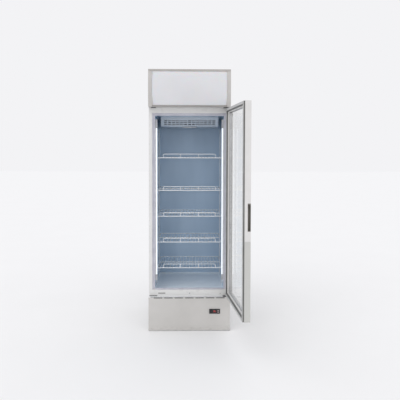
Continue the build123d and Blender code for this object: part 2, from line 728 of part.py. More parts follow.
def hinge_bracket_top():
    """Top bracket with its pin pointing down."""
    pin = rod(PIN, (PIVOT_X, PIVOT_Y, DOOR_Z1 - 14), (PIVOT_X, PIVOT_Y, PLATE_HIGH[0]))
    return hinge_plate(*PLATE_HIGH) + pin


def hinge_plugs():
    """Covers over the unused bracket seats on the left, for hanging the door that way."""
    low = block(-305, -246, -12, 0, LEDGE_Z, LEDGE_Z + 3)
    high = block(-292, -255, -30, 0, ROOF_Z - 4, ROOF_Z)
    return group([fillet(p.edges().filter_by(Axis.Z).group_by(Axis.Y)[0], 3) for p in (low, high)])


# ---- Small pieces on the front ----

def door_switch():
    """Sensor plug set in the sill, just clear of the gasket, that feels the door's magnet."""
    return rod(SENSOR_R, (SENSOR_X, -0.2, SENSOR_Z), (SENSOR_X, SENSOR_DEEP, SENSOR_Z))


def controller():
    """Panel-mounted temperature controller: bezel in front, case behind the panel."""
    bezel = block(CONTROLLER_X - 41, CONTROLLER_X + 41, BEZEL_Y, -BASE_OUT,
                  CONTROLLER_Z - 18, CONTROLLER_Z + 18)
    bezel = fillet(bezel.edges().filter_by(Axis.Y), 3)
    case = block(CONTROLLER_X - 35.2, CONTROLLER_X + 35.2, -BASE_OUT, 12,
                 CONTROLLER_Z - 14.2, CONTROLLER_Z + 14.2)
    body = bezel + case
    body -= block(CONTROLLER_X - 20, CONTROLLER_X + 17, BEZEL_Y - 1, BEZEL_Y + 1.5,
                  CONTROLLER_Z - 11, CONTROLLER_Z + 11)
    wide, high = KEY_HALF[0] + KEY_GAP, KEY_HALF[1] + KEY_GAP
    for z in KEY_ZS.values():
        body -= block(KEY_X - wide, KEY_X + wide, BEZEL_Y - 1, BEZEL_Y + 4, z - high, z + high)
    return body


def button(z):
    """Push key standing just proud of the bezel."""
    wide, high = KEY_HALF
    key = block(KEY_X - wide, KEY_X + wide, BEZEL_Y - KEY_PROUD, BEZEL_Y + 2.6, z - high, z + high)
    return fillet(key.edges().filter_by(Axis.Y), 1.5)


# ---- Writing the nodes ----

for node, shape in {
    "outer_wrapper": outer_wrapper(), "back_panel": back_panel(), "face_frame": face_frame(),
    "breaker_frame": breaker_frame(), "inner_liner": inner_liner(),
    "foam_insulation": foam_insulation(), "screw_heads": screw_heads(),
    "base_frame": base_frame(), "machine_tray": machine_tray(), "front_panel": front_panel(),
    "rear_grille": rear_grille(), "power_inlet": power_inlet(),
    "compressor": compressor(), "condenser_coil": condenser_coil(),
    "condenser_shroud": condenser_shroud(), "condenser_fan": condenser_fan(),
    "condenser_fan_motor": condenser_fan_motor(),
    "refrigerant_lines": refrigerant_lines(), "drain_tube": drain_tube(),
    "evaporation_tray": evaporation_tray(),
    "led_strips": led_strips(), "led_lenses": led_lenses(), "led_holders": led_holders(),
    "evaporator_cover": evaporator_cover(), "evaporator_coil": evaporator_coil(),
    "evaporator_fan": evaporator_fan(), "evaporator_fan_motor": evaporator_fan_motor(),
    "fan_guard": fan_guard(),
    "canopy_housing": canopy_housing(), "canopy_end_left": canopy_end(-1),
    "canopy_end_right": canopy_end(1), "canopy_trims": canopy_trims(),
    "canopy_diffuser": canopy_diffuser(), "canopy_led_bars": canopy_led_bars(),
    "hinge_bracket_bottom": hinge_bracket_bottom(), "hinge_bracket_top": hinge_bracket_top(),
    "hinge_plugs": hinge_plugs(), "door_switch": door_switch(),
    "controller": controller(),
}.items():
    save(node, shape)

for node, shape in {
    "door_stile_hinge": door_stile_hinge(), "door_stile_handle": door_stile_handle(),
    "door_rails": door_rails(), "hinge_bushes": hinge_bushes(),
    "handle_insert": handle_insert(), "door_glass": door_glass(),
    "glass_spacer": glass_spacer(), "door_gasket": door_gasket(),
}.items():
    save_door(node, shape)

for node, key_z in KEY_ZS.items():
    save(node, button(key_z))

for (ix, iy), node in FOOT_NAMES.items():
    save(node, levelling_foot(FOOT_XS[ix], FOOT_YS[iy]))

shelf = wire_shelf()
for number, step in enumerate(SHELF_STEPS, 1):
    save(f"shelf_{number}", Pos(0, 0, SHELF_Z0 + SHELF_PITCH * step) * shelf)

save("shelf_standards", group(shelf_standard(s, y) for s in (-1, 1) for y in STANDARD_YS))
save("shelf_clips", group(shelf_clip(s, y, SHELF_Z0 + SHELF_PITCH * step)
                          for step in SHELF_STEPS for s in (-1, 1) for y in STANDARD_YS))
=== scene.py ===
import json
from math import cos, pi, radians, sin

import bmesh
import bpy
from mathutils import Matrix, Vector


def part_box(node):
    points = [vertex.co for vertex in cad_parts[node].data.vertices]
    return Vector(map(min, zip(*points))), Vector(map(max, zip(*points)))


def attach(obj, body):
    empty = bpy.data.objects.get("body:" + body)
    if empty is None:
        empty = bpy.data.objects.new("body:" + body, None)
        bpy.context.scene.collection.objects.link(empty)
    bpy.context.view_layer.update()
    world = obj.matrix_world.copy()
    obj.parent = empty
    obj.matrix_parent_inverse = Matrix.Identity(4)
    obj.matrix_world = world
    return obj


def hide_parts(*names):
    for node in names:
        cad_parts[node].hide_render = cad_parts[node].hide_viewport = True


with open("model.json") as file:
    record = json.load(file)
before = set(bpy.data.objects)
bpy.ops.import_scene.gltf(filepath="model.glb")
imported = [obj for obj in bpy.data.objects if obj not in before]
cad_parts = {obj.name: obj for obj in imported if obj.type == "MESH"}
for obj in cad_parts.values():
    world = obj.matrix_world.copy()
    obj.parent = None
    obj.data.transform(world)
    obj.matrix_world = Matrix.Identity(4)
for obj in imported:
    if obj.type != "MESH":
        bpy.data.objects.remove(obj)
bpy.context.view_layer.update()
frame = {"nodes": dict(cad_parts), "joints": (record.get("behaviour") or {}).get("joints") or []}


# ---- Base frame and machine tray ----
# A ring of bent angle carries the cooler, and a tray with four welded nuts lies on it.
# Both are bare zinc-coated sheet steel, which shows its grey crystal pattern from below.

def new_finish(name, roughness, metallic=0.0, **sockets):
    """A material, its node tree, its shader and the piece's own space to draw a pattern in."""
    material = bpy.data.materials.new(name)
    material.use_nodes = True
    tree = material.node_tree
    shader = tree.nodes["Principled BSDF"]
    shader.inputs["Roughness"].default_value = roughness
    shader.inputs["Metallic"].default_value = metallic
    for socket, value in sockets.items():
        shader.inputs[socket.replace("_", " ").title()].default_value = value
    return material, tree, shader, tree.nodes.new("ShaderNodeTexCoord").outputs["Object"]


def clouds(tree, place, size, detail=3.0, stretch=(1, 1, 1)):
    """Soft noise with blotches of a given size in metres, longer where stretch is under 1."""
    mapping = tree.nodes.new("ShaderNodeMapping")
    mapping.inputs["Scale"].default_value = stretch
    tree.links.new(place, mapping.inputs["Vector"])
    noise = tree.nodes.new("ShaderNodeTexNoise")
    noise.inputs["Scale"].default_value = 1 / size
    noise.inputs["Detail"].default_value = detail
    tree.links.new(mapping.outputs["Vector"], noise.inputs["Vector"])
    return noise.outputs["Fac"]


def remap(tree, value, low, high, start=0.3, end=0.7):
    """Turns a pattern that runs from start to end into one that runs from low to high."""
    node = tree.nodes.new("ShaderNodeMapRange")
    for socket, number in (("From Min", start), ("From Max", end), ("To Min", low), ("To Max", high)):
        node.inputs[socket].default_value = number
    tree.links.new(value, node.inputs["Value"])
    return node.outputs["Result"]


def tint(tree, shader, value, dark, light, start=0.3, end=0.7):
    """Colours the surface from dark to light along a pattern."""
    ramp = tree.nodes.new("ShaderNodeValToRGB")
    ramp.color_ramp.elements[0].position = start
    ramp.color_ramp.elements[0].color = (*dark, 1)
    ramp.color_ramp.elements[1].position = end
    ramp.color_ramp.elements[1].color = (*light, 1)
    tree.links.new(value, ramp.inputs["Fac"])
    tree.links.new(ramp.outputs["Color"], shader.inputs["Base Color"])
    return ramp.outputs["Color"]


def relief(tree, shader, height, distance, strength=1.0):
    """Raises the surface by a pattern, by up to a distance in metres."""
    bump = tree.nodes.new("ShaderNodeBump")
    bump.inputs["Strength"].default_value = strength
    bump.inputs["Distance"].default_value = distance
    tree.links.new(height, bump.inputs["Height"])
    tree.links.new(bump.outputs["Normal"], shader.inputs["Normal"])


def zinc_coat(name, dark, light):
    """Hot-dip zinc: flat crystals of slightly different grey, with fine rolling lines."""
    material, tree, shader, place = new_finish(name, 0.42, 0.85)
    crystals = tree.nodes.new("ShaderNodeTexVoronoi")
    crystals.inputs["Scale"].default_value = 90
    tree.links.new(place, crystals.inputs["Vector"])
    grey = tree.nodes.new("ShaderNodeRGBToBW")
    tree.links.new(crystals.outputs["Color"], grey.inputs["Color"])
    tint(tree, shader, grey.outputs["Val"], dark, light, 0.1, 0.9)
    tree.links.new(remap(tree, grey.outputs["Val"], 0.34, 0.50, 0, 1), shader.inputs["Roughness"])
    relief(tree, shader, clouds(tree, place, 0.0015, 2, (1, 0.1, 1)), 0.0001, 0.4)
    return material


def dress(finish, *nodes):
    """Gives the designed nodes their finish."""
    for node in nodes:
        for socket in frame["nodes"][node].material_slots:
            socket.material = finish


def as_piece(name, shape, body, slot, finish, *nodes, sharp=32):
    """Turns a shape into a piece that rides a body, and that stands for the named nodes."""
    mesh = bpy.data.meshes.new(name)
    shape.to_mesh(mesh)
    shape.free()
    mesh.materials.append(finish)
    mesh.shade_smooth()
    mesh.set_sharp_from_angle(angle=radians(sharp))
    piece = bpy.data.objects.new(name, mesh)
    bpy.context.scene.collection.objects.link(piece)
    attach(piece, body)
    if nodes:
        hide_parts(*nodes)
    return piece


def softened(node, radius, segments=3, sharp=40):
    """A merged copy of a designed node, with its sharp edges rounded."""
    shape = bmesh.new()
    shape.from_mesh(frame["nodes"][node].data)
    bmesh.ops.remove_doubles(shape, verts=shape.verts, dist=1e-5)
    bmesh.ops.dissolve_limit(shape, angle_limit=radians(1), verts=shape.verts, edges=shape.edges)
    edges = [e for e in shape.edges if e.is_manifold and e.calc_face_angle(0) > radians(sharp)]
    bmesh.ops.bevel(shape, geom=edges, offset=radius, affect="EDGES", segments=segments,
                    profile=0.5, material=-1, clamp_overlap=True)
    return shape


def even_shading(piece):
    """Keeps broad flat faces flat in shading, up to their rounded edges."""
    piece.modifiers.new("even_shading", "WEIGHTED_NORMAL").keep_sharp = True


zinc = zinc_coat("zinc_coat", (0.40, 0.41, 0.42), (0.50, 0.51, 0.52))
even_shading(as_piece("base_angle_ring", softened("base_frame", 0.0006), "cabinet",
                      "galvanised_steel", zinc, "base_frame"))
dress(zinc, "machine_tray", "condenser_shroud")


# ---- Levelling feet ----
# A black nylon disc moulded on a threaded steel stem, one in each corner of the base.
# The disc has six grips for turning it by hand, and the stem runs in the tray's nut.

def moulded(name, dark, light, roughness=0.45, stipple=0.0006, depth=0.00004, **sockets):
    """Moulded plastic: an even colour with a fine stipple and a faint change of gloss."""
    material, tree, shader, place = new_finish(name, roughness, **sockets)
    tint(tree, shader, clouds(tree, place, 0.06), dark, light)
    fine = clouds(tree, place, stipple, 2)
    tree.links.new(remap(tree, fine, roughness - 0.06, roughness + 0.08), shader.inputs["Roughness"])
    relief(tree, shader, fine, depth)
    return material


def middle(node):
    """Centre of a designed node's box."""
    low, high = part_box(node)
    return (low + high) / 2


def turned(profile, centre, axis="Z", steps=32):
    """A closed solid turned from (radius, height) points, from its axis back to its axis."""
    shape = bmesh.new()
    points = [shape.verts.new((r, 0, h)) for r, h in profile]
    edges = [shape.edges.new(pair) for pair in zip(points, points[1:])]
    bmesh.ops.spin(shape, geom=points + edges, cent=(0, 0, 0), axis=(0, 0, 1), angle=2 * pi,
                   steps=steps, use_merge=True)
    bmesh.ops.remove_doubles(shape, verts=shape.verts, dist=1e-6)
    bmesh.ops.recalc_face_normals(shape, faces=shape.faces)
    if axis == "Y":
        bmesh.ops.rotate(shape, cent=(0, 0, 0), matrix=Matrix.Rotation(pi / 2, 3, "X"),
                         verts=shape.verts)
    bmesh.ops.translate(shape, vec=centre, verts=shape.verts)
    return shape


black_nylon = moulded("black_nylon", (0.018, 0.018, 0.020), (0.035, 0.035, 0.038), 0.5)
for corner in ("front_left", "front_right", "rear_left", "rear_right"):
    low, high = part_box(f"foot_{corner}")
    radius = (high.x - low.x) / 2
    outline = [(0, 0), (radius - 0.003, 0), (radius - 0.001, 0.0008), (radius, 0.0025),
               (radius, 0.0050), (radius - 0.002, 0.0070), (0.009, 0.0080), (0.0075, 0.0110),
               (0.0048, 0.0112)]
    thread = 0.0014
    top = high.z - low.z - 0.001
    turn = 0
    while 0.012 + thread * (turn + 1) < top:
        outline += [(0.0048, 0.012 + thread * turn), (0.0041, 0.012 + thread * (turn + 0.5))]
        turn += 1
    outline += [(0.0044, top), (0.0036, top + 0.001), (0, top + 0.001)]
    centre = middle(f"foot_{corner}")
    foot = turned(outline, (centre.x, centre.y, low.z), steps=24)
    grips = [v for v in foot.verts if (v.co.xy - centre.xy).length > radius - 0.0012]
    for v in grips:
        away = v.co.xy - centre.xy
        v.co.xy = centre.xy + away * (1 - 0.06 * max(0, cos(6 * Vector((1, 0)).angle_signed(away))))
    as_piece(f"levelling_foot_{corner}", foot, f"{corner}_foot", "foot_plastic", black_nylon,
             f"foot_{corner}")


# ---- Compressor and condenser ----
# The sealed compressor sits on rubber grommets at the back, a finned condenser stands behind
# the front vents with its fan, and bare copper tubes join them to the coil above.

def enamel(name, dark, light):
    """Black stoved enamel over rolled steel: glossy, with a slight orange peel."""
    material, tree, shader, place = new_finish(name, 0.25, coat_weight=0.4, coat_roughness=0.1)
    tint(tree, shader, clouds(tree, place, 0.03), dark, light)
    relief(tree, shader, clouds(tree, place, 0.002, 1), 0.0001, 0.5)
    return material


def drawn_metal(name, dark, light, roughness, along):
    """Bare metal with fine drawing lines along one axis and a few dull patches."""
    material, tree, shader, place = new_finish(name, roughness, 1.0)
    stretch = tuple(0.03 if axis == along else 1.0 for axis in "XYZ")
    lines = clouds(tree, place, 0.0008, 2, stretch)
    tint(tree, shader, clouds(tree, place, 0.04), dark, light)
    tree.links.new(remap(tree, lines, roughness - 0.1, roughness + 0.12), shader.inputs["Roughness"])
    relief(tree, shader, lines, 0.00005, 0.5)
    return material


dress(enamel("compressor_enamel", (0.008, 0.008, 0.009), (0.020, 0.020, 0.022)), "compressor")
dress(drawn_metal("fin_aluminium", (0.55, 0.56, 0.58), (0.74, 0.75, 0.77), 0.35, "Z"),
      "condenser_coil", "evaporator_coil")
dress(drawn_metal("copper_tube", (0.50, 0.20, 0.10), (0.78, 0.40, 0.24), 0.30, "Z"),
      "refrigerant_lines")
dress(drawn_metal("motor_shell", (0.20, 0.20, 0.21), (0.36, 0.36, 0.38), 0.45, "Y"),
      "condenser_fan_motor", "evaporator_fan_motor")
dress(moulded("fan_nylon", (0.035, 0.036, 0.040), (0.065, 0.066, 0.070), 0.42),
      "condenser_fan", "evaporator_fan")
dress(moulded("tray_grey", (0.20, 0.21, 0.22), (0.28, 0.29, 0.30), 0.5),
      "evaporation_tray", "drain_tube")


# ---- Base cover ----
# One painted sheet folded over the front and sides of the base, with a ledge on top and a row
# of vent slots just under its edge.  Its coat is a satin warm grey, with a painted highlight
# that makes the ledge paler, and a black sheet behind the slots is painted shade that darkens them.

def stoved_paint(name, dark, light, roughness=0.34, scuffed=False):
    """Powder coat on sheet steel: satin, with fine orange peel and a cloudy tone."""
    material, tree, shader, place = new_finish(name, roughness, coat_weight=0.15,
                                               coat_roughness=0.2)
    colour = tint(tree, shader, clouds(tree, place, 0.22), dark, light)
    peel = clouds(tree, place, 0.0022, 2)
    smudges = clouds(tree, place, 0.05, 4)
    tree.links.new(remap(tree, smudges, roughness - 0.04, roughness + 0.10),
                   shader.inputs["Roughness"])
    relief(tree, shader, peel, 0.00012, 0.35)
    if scuffed:
        height = tree.nodes.new("ShaderNodeSeparateXYZ")
        tree.links.new(place, height.inputs["Vector"])
        low = remap(tree, height.outputs["Z"], 0.55, 0.0, 0.0, 0.05)
        scuffs = tree.nodes.new("ShaderNodeMath")
        scuffs.operation = "MULTIPLY"
        tree.links.new(low, scuffs.inputs[0])
        tree.links.new(remap(tree, clouds(tree, place, 0.012, 6, (0.35, 0.35, 1)), 0, 1, 0.45, 0.75),
                       scuffs.inputs[1])
        mix = tree.nodes.new("ShaderNodeMix")
        mix.data_type = "RGBA"
        mix.inputs["B"].default_value = (0.26, 0.25, 0.23, 1)
        tree.links.new(scuffs.outputs["Value"], mix.inputs["Factor"])
        tree.links.new(colour, mix.inputs["A"])
        tree.links.new(mix.outputs["Result"], shader.inputs["Base Color"])
    return material


def paint_light_or_shade_by_height(material, colour, start, end, most=0.85):
    """Paints light or shade into a finish: it passes into another tone between two heights."""
    tree = material.node_tree
    first = tree.nodes["Principled BSDF"].inputs["Base Color"].links[0].from_socket
    height = tree.nodes.new("ShaderNodeSeparateXYZ")
    tree.links.new(tree.nodes["Texture Coordinate"].outputs["Object"], height.inputs["Vector"])
    mix = tree.nodes.new("ShaderNodeMix")
    mix.data_type = "RGBA"
    mix.inputs["B"].default_value = (*colour, 1)
    tree.links.new(remap(tree, height.outputs["Z"], 0, most, start, end), mix.inputs["Factor"])
    tree.links.new(first, mix.inputs["A"])
    tree.links.new(mix.outputs["Result"], tree.nodes["Principled BSDF"].inputs["Base Color"])


def slab(size, centre, radius=0.0, axis_edges=None, segments=3):
    """A box of a given size with its edges rounded."""
    shape = bmesh.new()
    bmesh.ops.create_cube(shape, size=1.0)
    bmesh.ops.scale(shape, vec=size, verts=shape.verts)
    edges = shape.edges[:]
    if axis_edges:
        edges = [e for e in edges
                 if abs((e.verts[0].co - e.verts[1].co).normalized()["XYZ".index(axis_edges)]) > 0.9]
    if radius:
        bmesh.ops.bevel(shape, geom=edges, offset=radius, affect="EDGES", segments=segments,
                        profile=0.5, material=-1)
    bmesh.ops.translate(shape, vec=centre, verts=shape.verts)
    return shape


cover_low, cover_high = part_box("front_panel")
ledge = cover_high.z
base_paint_with_ledge_highlight = stoved_paint("base_paint_with_ledge_highlight", (0.520, 0.506, 0.486), (0.575, 0.560, 0.541), 0.32, True)
# A painted highlight turns the top of the ledge pale.
paint_light_or_shade_by_height(base_paint_with_ledge_highlight, (0.86, 0.87, 0.885), ledge - 0.0016, ledge - 0.0008)
even_shading(as_piece("base_cover", softened("front_panel", 0.0005), "cabinet", "cabinet_paint",
                      base_paint_with_ledge_highlight, "front_panel"))
# Painted shade: a black sheet behind the vent slots whose only job is to make them look dark.
shade_screen_size = (0.590, 0.003, 0.014)
shade_screen_centre = (0, cover_low.y + 0.0035, ledge - 0.005)
as_piece("vent_painted_shade_screen", slab(shade_screen_size, shade_screen_centre, 0.0005), "cabinet", "grey_plastic",
         black_nylon)


# ---- Temperature controller ----
# A black panel-mounted controller clipped in the base cover, with a smoked window over red
# seven-segment digits and two rubber keys to its right that raise and lower the setting.

bezel_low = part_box("controller")[0]
bezel_front = bezel_low.y
controller_black = moulded("controller_black", (0.008, 0.008, 0.009), (0.016, 0.016, 0.018), 0.38)
even_shading(as_piece("controller_bezel", softened("controller", 0.0006), "cabinet",
                      "controller_plastic", controller_black, "controller"))


def joined(shapes):
    """Several shapes in one mesh."""
    whole = bmesh.new()
    for shape in shapes:
        part = bpy.data.meshes.new("part")
        shape.to_mesh(part)
        shape.free()
        whole.from_mesh(part)
        bpy.data.meshes.remove(part)
    return whole


def smoked(name):
    """Dark tinted acrylic with a polished face and a cloudy depth."""
    material, tree, shader, place = new_finish(name, 0.12, coat_weight=0.5, coat_roughness=0.05)
    tint(tree, shader, clouds(tree, place, 0.01), (0.012, 0.004, 0.005), (0.022, 0.007, 0.008))
    return material


def glowing(name, colour, strength, size, low=0.85):
    """A lit surface whose brightness wavers a little over a given size."""
    material, tree, shader, place = new_finish(name, 0.4)
    shader.inputs["Emission Strength"].default_value = strength
    cloud = clouds(tree, place, size, 1)
    dim = tuple(channel * low for channel in colour)
    light = tint(tree, shader, cloud, dim, colour)
    tree.links.new(light, shader.inputs["Emission Color"])
    return material


window_centre = Vector((bezel_low.x + 0.0395, bezel_front + 0.0011, middle("controller").z))
window = slab((0.0364, 0.0006, 0.0214), window_centre, 0.0002)
as_piece("controller_window", window, "cabinet", "controller_plastic", smoked("smoked_window"))

SEGMENTS = {"top": (0, 1, True), "middle": (0, 0, True), "bottom": (0, -1, True),
            "upper_left": (-1, 0.5, False), "upper_right": (1, 0.5, False),
            "lower_left": (-1, -0.5, False), "lower_right": (1, -0.5, False)}
NUMERALS = {3: ("top", "middle", "bottom", "upper_right", "lower_right"),
            5: ("top", "middle", "bottom", "upper_left", "lower_right")}
digit_wide = 0.0030
digit_high = 0.0055
bars = []
for numeral, offset in ((3, -0.0055), (5, 0.0045)):
    for name in NUMERALS[numeral]:
        right, up, flat = SEGMENTS[name]
        size = (0.0048, 0.0002, 0.0013) if flat else (0.0013, 0.0002, 0.0044)
        place = window_centre + Vector((offset + right * digit_wide, -0.0004, up * digit_high))
        bars.append(slab(size, place, 0.0003, "Y", 1))
bars.append(slab((0.0013, 0.0002, 0.0013), window_centre + Vector((-0.0005, -0.0004, -0.0055))))
as_piece("controller_digits", joined(bars), "cabinet", "controller_plastic",
         glowing("digit_red", (0.75, 0.04, 0.035), 0.5, 0.003))

key_rubber = moulded("key_rubber", (0.20, 0.16, 0.16), (0.27, 0.22, 0.22), 0.6)
key_mark = moulded("key_mark_print", (0.62, 0.60, 0.60), (0.72, 0.70, 0.70), 0.5)
for node, body, way in (("button_up", "up_key", 1), ("button_down", "down_key", -1)):
    even_shading(as_piece(f"key_{body}", softened(node, 0.0005), body, "key_plastic", key_rubber,
                          node))
    arrow = bmesh.new()
    bmesh.ops.create_circle(arrow, cap_ends=True, segments=3, radius=0.0020)
    bmesh.ops.rotate(arrow, cent=(0, 0, 0), matrix=Matrix.Rotation(pi / 2, 3, "X"),
                     verts=arrow.verts)
    if way < 0:
        bmesh.ops.rotate(arrow, cent=(0, 0, 0), matrix=Matrix.Rotation(pi, 3, "Y"),
                         verts=arrow.verts)
    face = bmesh.ops.extrude_face_region(arrow, geom=arrow.faces[:])
    raised = [v for v in face["geom"] if isinstance(v, bmesh.types.BMVert)]
    bmesh.ops.translate(arrow, vec=(0, -0.00025, 0), verts=raised)
    bmesh.ops.recalc_face_normals(arrow, faces=arrow.faces)
    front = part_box(node)[0].y
    centre = middle(node)
    bmesh.ops.translate(arrow, vec=(centre.x, front, centre.z), verts=arrow.verts)
    as_piece(f"key_mark_{body}", arrow, body, "key_plastic", key_mark)


# ---- Rear grille and power inlet ----
# A zinc-coated cover with rows of pressed louvres closes the machine compartment.  The black
# appliance inlet is screwed to it in the lower corner, with three plated blades inside.

even_shading(as_piece("rear_louvre_cover", softened("rear_grille", 0.0003, 1), "cabinet",
                      "galvanised_steel", zinc, "rear_grille"))

grille_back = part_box("rear_grille")[1].y
louvre_wide = 0.150
louvre_high = 0.009
louvre_proud = 0.0022
hoods = []
for left in (-0.265, -0.095, 0.075):
    for row in range(11):
        top = 0.068 + 0.016 * row
        hood = bmesh.new()
        rim = []
        for step in range(7):
            bend = radians(15 * step)
            rim.append(hood.verts.new((left, grille_back + louvre_proud * sin(bend) - 0.0004,
                                       top - louvre_high * (1 - cos(bend)))))
        edges = [hood.edges.new(pair) for pair in zip(rim, rim[1:])]
        drawn = bmesh.ops.extrude_edge_only(hood, edges=edges)
        far = [v for v in drawn["geom"] if isinstance(v, bmesh.types.BMVert)]
        bmesh.ops.translate(hood, vec=(louvre_wide, 0, 0), verts=far)
        bmesh.ops.recalc_face_normals(hood, faces=hood.faces)
        bmesh.ops.solidify(hood, geom=hood.faces[:], thickness=0.0006)
        hoods.append(hood)
as_piece("rear_louvres", joined(hoods), "cabinet", "galvanised_steel", zinc)

inlet_black = moulded("inlet_black", (0.010, 0.010, 0.011), (0.020, 0.020, 0.022), 0.45)
even_shading(as_piece("appliance_inlet", softened("power_inlet", 0.0004), "cabinet",
                      "inlet_plastic", inlet_black, "power_inlet"))
inlet = middle("power_inlet")
inlet_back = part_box("power_inlet")[1].y
blades = [slab((0.0024, 0.0145, 0.0044), (inlet.x + x, inlet_back - 0.01425, inlet.z + z), 0.0006)
          for x, z in ((-0.007, 0.002), (0, -0.003), (0.007, 0.002))]
nickel = drawn_metal("nickel_plate", (0.55, 0.52, 0.46), (0.72, 0.69, 0.62), 0.22, "Y")
as_piece("inlet_blades", joined(blades), "cabinet", "inlet_plastic", nickel)


def screw(centre, radius, high, towards="Y"):
    """A pan head with a round driver socket, facing +Y or -Y, or +Z."""
    outline = [(0, 0), (radius, 0), (radius, high * 0.45), (radius * 0.85, high * 0.85),
               (radius * 0.5, high), (radius * 0.38, high), (radius * 0.34, high * 0.4),
               (0, high * 0.4)]
    head = turned(outline, (0, 0, 0), steps=16)
    turn = {"Y": -pi / 2, "-Y": pi / 2, "Z": 0}[towards]
    bmesh.ops.rotate(head, cent=(0, 0, 0), matrix=Matrix.Rotation(turn, 3, "X"), verts=head.verts)
    bmesh.ops.translate(head, vec=centre, verts=head.verts)
    return head


flange_screws = [screw((inlet.x + side * 0.020, inlet_back - 0.0008, inlet.z), 0.0022, 0.0014)
                 for side in (-1, 1)]
as_piece("inlet_screws", joined(flange_screws), "cabinet", "inlet_plastic", nickel)


# ---- Cabinet shell ----
# The sides and roof are one painted sheet folded at two corners, the back is a flat panel with
# two pressed ribs, and foam sprayed between them and the liner makes the cabinet stiff.

cabinet_white = stoved_paint("cabinet_white", (0.590, 0.588, 0.580), (0.635, 0.633, 0.625), 0.30,
                             True)
shell_low, shell_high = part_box("outer_wrapper")
sheet = 0.0012
shell = slab(shell_high - shell_low, (shell_low + shell_high) / 2)
open_faces = [f for f in shell.faces if abs(f.normal.y) > 0.9 or f.normal.z < -0.9]
bmesh.ops.delete(shell, geom=open_faces, context="FACES")
folds = [e for e in shell.edges if len(e.link_faces) == 2]
bmesh.ops.bevel(shell, geom=folds, offset=0.003, affect="EDGES", segments=5, profile=0.5,
                material=-1)
bmesh.ops.solidify(shell, geom=shell.faces[:], thickness=sheet)
even_shading(as_piece("cabinet_shell", shell, "cabinet", "cabinet_paint", cabinet_white,
                      "outer_wrapper"))

back_paint = stoved_paint("back_grey", (0.56, 0.56, 0.56), (0.63, 0.63, 0.63), 0.42, True)
panel_low, panel_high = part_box("back_panel")
back = slab((panel_high.x - panel_low.x, sheet, panel_high.z - panel_low.z),
            ((panel_low.x + panel_high.x) / 2, panel_high.y - 0.0015 - sheet / 2,
             (panel_low.z + panel_high.z) / 2), 0.0003, segments=1)
ribs = [slab((0.060, 0.0030, 1.260), (x, panel_high.y - 0.0015, 0.970), 0.0014, segments=4)
        for x in (-0.150, 0.150)]
even_shading(as_piece("ribbed_back", joined([back, *ribs]), "cabinet", "cabinet_paint",
                      back_paint, "back_panel"))

screw_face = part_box("screw_heads")[0].y
heads = [screw((x, screw_face - 0.0001, z), 0.0045, 0.0021)
         for z in (0.275, 0.600, 0.925, 1.250, 1.575, 1.690) for x in (-0.300, 0.300)]
heads += [screw((x, screw_face - 0.0001, z), 0.0045, 0.0021)
          for z in (0.044, 0.244) for x in (-0.296, 0.0, 0.296)]
as_piece("back_screws", joined(heads), "cabinet", "galvanised_steel", nickel, "screw_heads")

foam = moulded("foam_yellow", (0.62, 0.50, 0.26), (0.74, 0.63, 0.36), 0.8, 0.002, 0.0005)
dress(foam, "foam_insulation")

face_white = stoved_paint("face_white", (0.680, 0.678, 0.668), (0.725, 0.723, 0.713), 0.28)
even_shading(as_piece("face_flange", softened("face_frame", 0.0005), "cabinet", "cabinet_paint",
                      face_white, "face_frame"))


# ---- Liner and breaker strip ----
# The liner is vacuum-formed sheet with generous corners, coloured blue-grey as painted shade of
# the cabin and painted paler on its floor where light falls in.  A stepped lilac-grey strip joins
# its lip to the painted frame and stops the cold from creeping outwards.

def formed_liner(name, dark, light):
    """Vacuum-formed polystyrene: a soft gloss, faint flow marks and a fine leather grain."""
    material, tree, shader, place = new_finish(name, 0.32, coat_weight=0.1, coat_roughness=0.15)
    tint(tree, shader, clouds(tree, place, 0.15, 2, (1, 1, 0.3)), dark, light)
    grain = tree.nodes.new("ShaderNodeTexVoronoi")
    grain.inputs["Scale"].default_value = 700
    tree.links.new(place, grain.inputs["Vector"])
    relief(tree, shader, grain.outputs["Distance"], 0.0001, 0.4)
    return material


# The liner's blue-grey colour is painted shade of the cabin.
liner_painted_shade_finish = formed_liner("liner_blue_grey_painted_shade", (0.42, 0.55, 0.69), (0.49, 0.62, 0.76))
liner_low, liner_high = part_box("inner_liner")
# Painted light: the liner turns pale at its floor, where light falls in through the opening.
paint_light_or_shade_by_height(liner_painted_shade_finish, (0.86, 0.91, 0.95), liner_low.z + 0.014, liner_low.z + 0.006, 0.9)
wall = 0.0015
liner = slab((liner_high.x - liner_low.x - 2 * wall, liner_high.y - liner_low.y - wall,
              liner_high.z - liner_low.z - 2 * wall),
             ((liner_low.x + liner_high.x) / 2, (liner_low.y + liner_high.y - wall) / 2,
              (liner_low.z + liner_high.z) / 2))
bmesh.ops.delete(liner, geom=[f for f in liner.faces if f.normal.y < -0.9], context="FACES")
corners = [e for e in liner.edges if len(e.link_faces) == 2]
bmesh.ops.bevel(liner, geom=corners, offset=0.012, affect="EDGES", segments=6, profile=0.5,
                material=-1)
bmesh.ops.solidify(liner, geom=liner.faces[:], thickness=-wall)
even_shading(as_piece("cabin_liner", liner, "cabinet", "liner_plastic", liner_painted_shade_finish,
                      "inner_liner"))


def picture_frame(outside, profile):
    """A mitred frame in an XZ plane: each profile point is (inwards from outside, y)."""
    x0, x1, z0, z1 = outside
    moulding = bmesh.new()
    loops = []
    for x, z, right, up in ((x0, z0, 1, 1), (x1, z0, -1, 1), (x1, z1, -1, -1), (x0, z1, 1, -1)):
        points = [moulding.verts.new((x + right * inset, y, z + up * inset))
                  for inset, y in profile]
        loops.append([moulding.edges.new(pair) for pair in zip(points, points[1:] + points[:1])])
    for first, second in zip(loops, loops[1:] + loops[:1]):
        bmesh.ops.bridge_loops(moulding, edges=first + second)
    bmesh.ops.recalc_face_normals(moulding, faces=moulding.faces)
    return moulding


